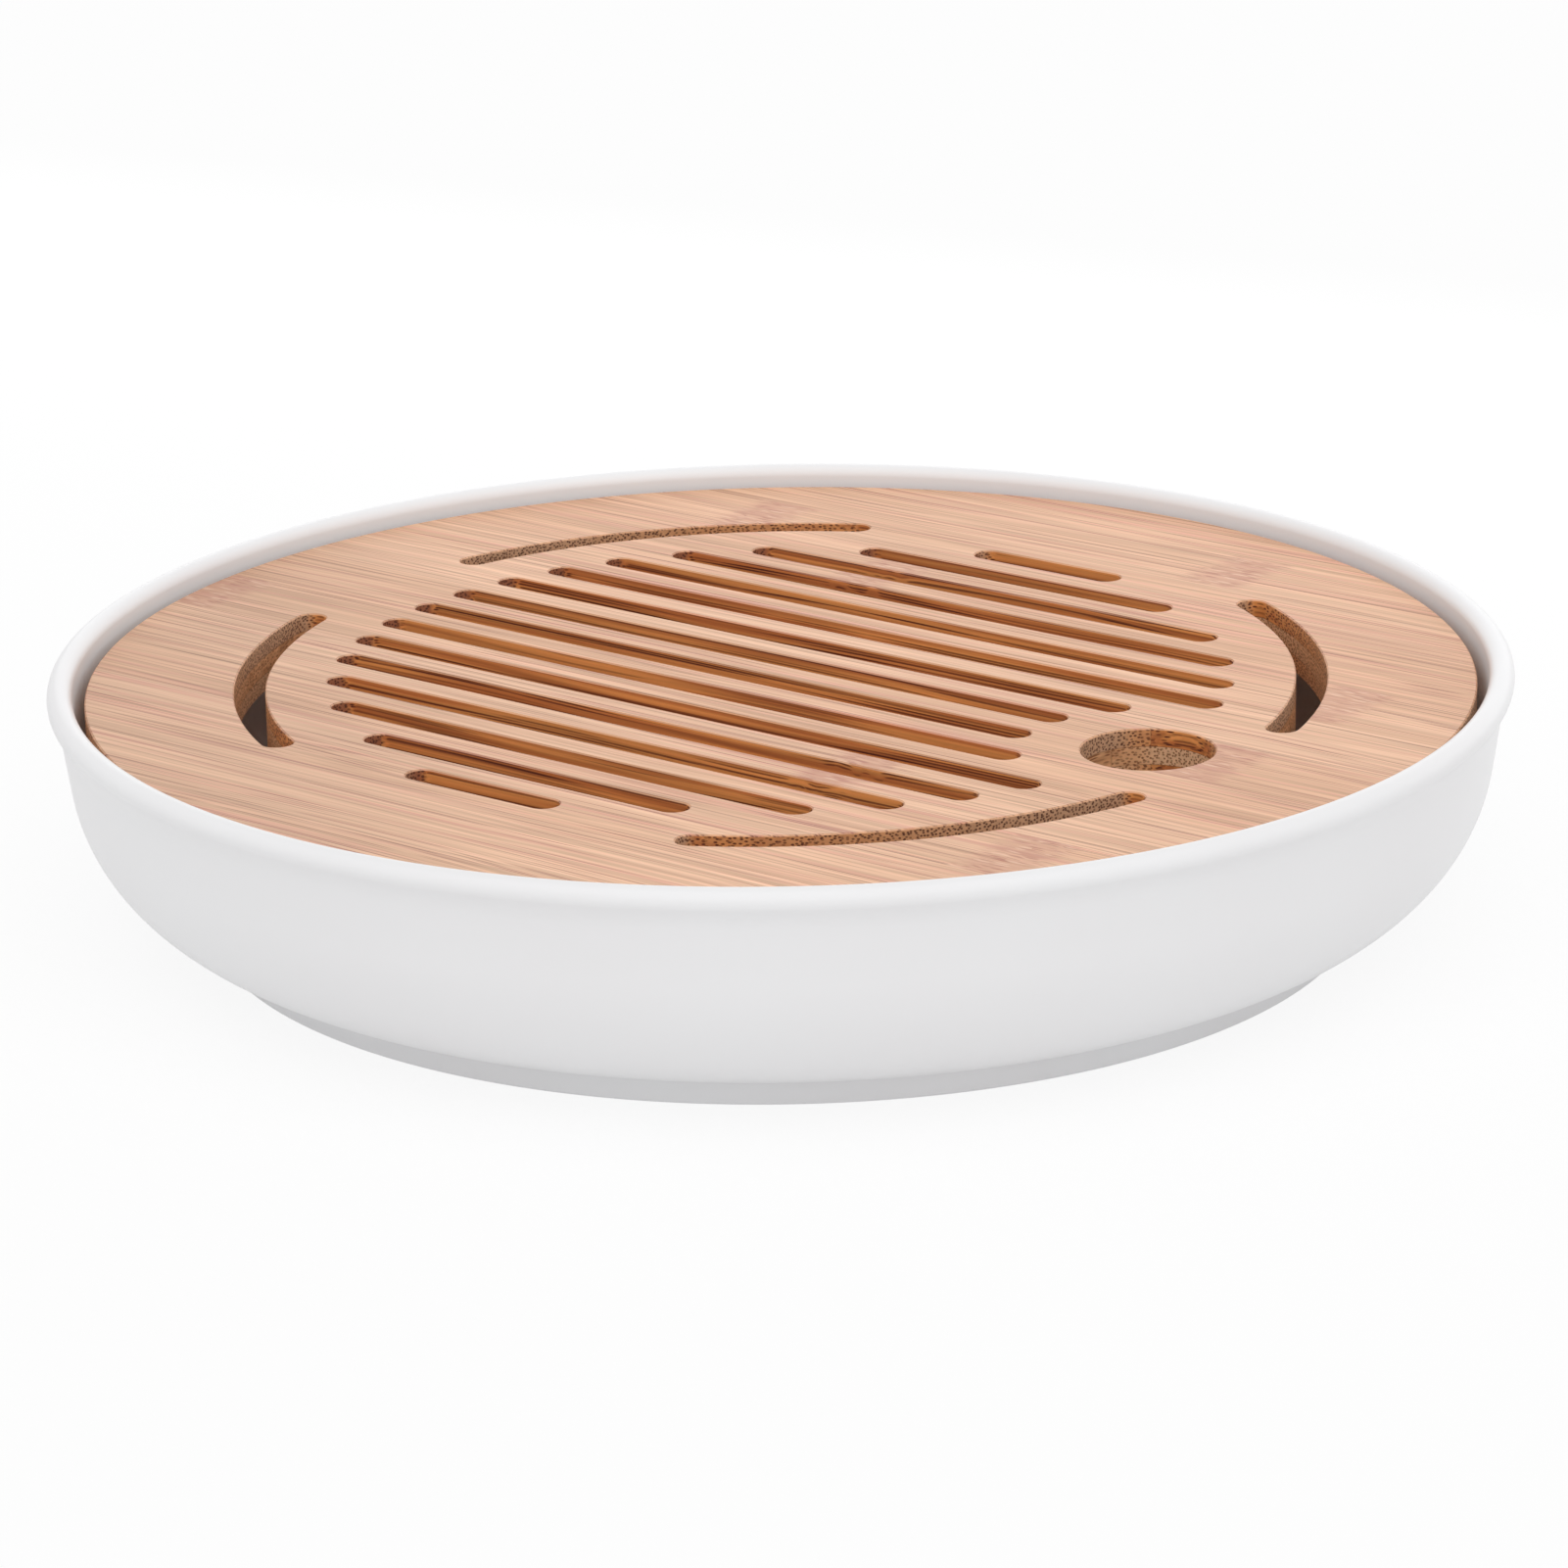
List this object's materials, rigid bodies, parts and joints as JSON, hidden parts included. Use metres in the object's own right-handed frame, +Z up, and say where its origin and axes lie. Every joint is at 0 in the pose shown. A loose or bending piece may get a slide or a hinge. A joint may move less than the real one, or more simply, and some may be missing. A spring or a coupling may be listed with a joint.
{
  "type": "gongfu tea tray",
  "caption": "Round tea tray: a shallow white bowl with a foot ring holds the waste water under a slotted bamboo lid, lifted out by its finger hole.",
  "frame": {"origin": "centre of the foot ring, on the table", "axes": "+Z up; +X along the drain slots, from the lid's centre to its finger hole"},
  "size_m": [0.28, 0.28, 0.05],
  "materials": {
    "melamine": "glossy white moulded melamine",
    "bamboo_face": "flat-pressed carbonised bamboo, sanded, clear oil",
    "bamboo_core": "cross-laid bamboo, routed edges",
    "bamboo_back": "flat-pressed carbonised bamboo, sanded, clear oil"
  },
  "bodies": {
    "bowl": {"bowl": "melamine"},
    "lid": {"back_strip_01": "bamboo_back", "back_strip_02": "bamboo_back", "back_strip_03": "bamboo_back", "back_strip_04": "bamboo_back", "back_strip_05": "bamboo_back", "back_strip_06": "bamboo_back", "back_strip_07": "bamboo_back", "back_strip_08": "bamboo_back", "back_strip_09": "bamboo_back", "back_strip_10": "bamboo_back", "back_strip_11": "bamboo_back", "back_strip_12": "bamboo_back", "back_strip_13": "bamboo_back", "core_strip_01": "bamboo_core", "core_strip_02": "bamboo_core", "core_strip_03": "bamboo_core", "core_strip_04": "bamboo_core", "core_strip_05": "bamboo_core", "core_strip_06": "bamboo_core", "core_strip_07": "bamboo_core", "core_strip_08": "bamboo_core", "core_strip_09": "bamboo_core", "core_strip_10": "bamboo_core", "core_strip_11": "bamboo_core", "core_strip_12": "bamboo_core", "core_strip_13": "bamboo_core", "face_strip_01": "bamboo_face", "face_strip_02": "bamboo_face", "face_strip_03": "bamboo_face", "face_strip_04": "bamboo_face", "face_strip_05": "bamboo_face", "face_strip_06": "bamboo_face", "face_strip_07": "bamboo_face", "face_strip_08": "bamboo_face", "face_strip_09": "bamboo_face", "face_strip_10": "bamboo_face", "face_strip_11": "bamboo_face", "face_strip_12": "bamboo_face", "face_strip_13": "bamboo_face"}
  },
  "joints": [
    {"name": "lid_lift", "type": "slide", "parent": "bowl", "child": "lid", "axis": [0, 0, 1], "range_m": [0, 0.06]}
  ]
}
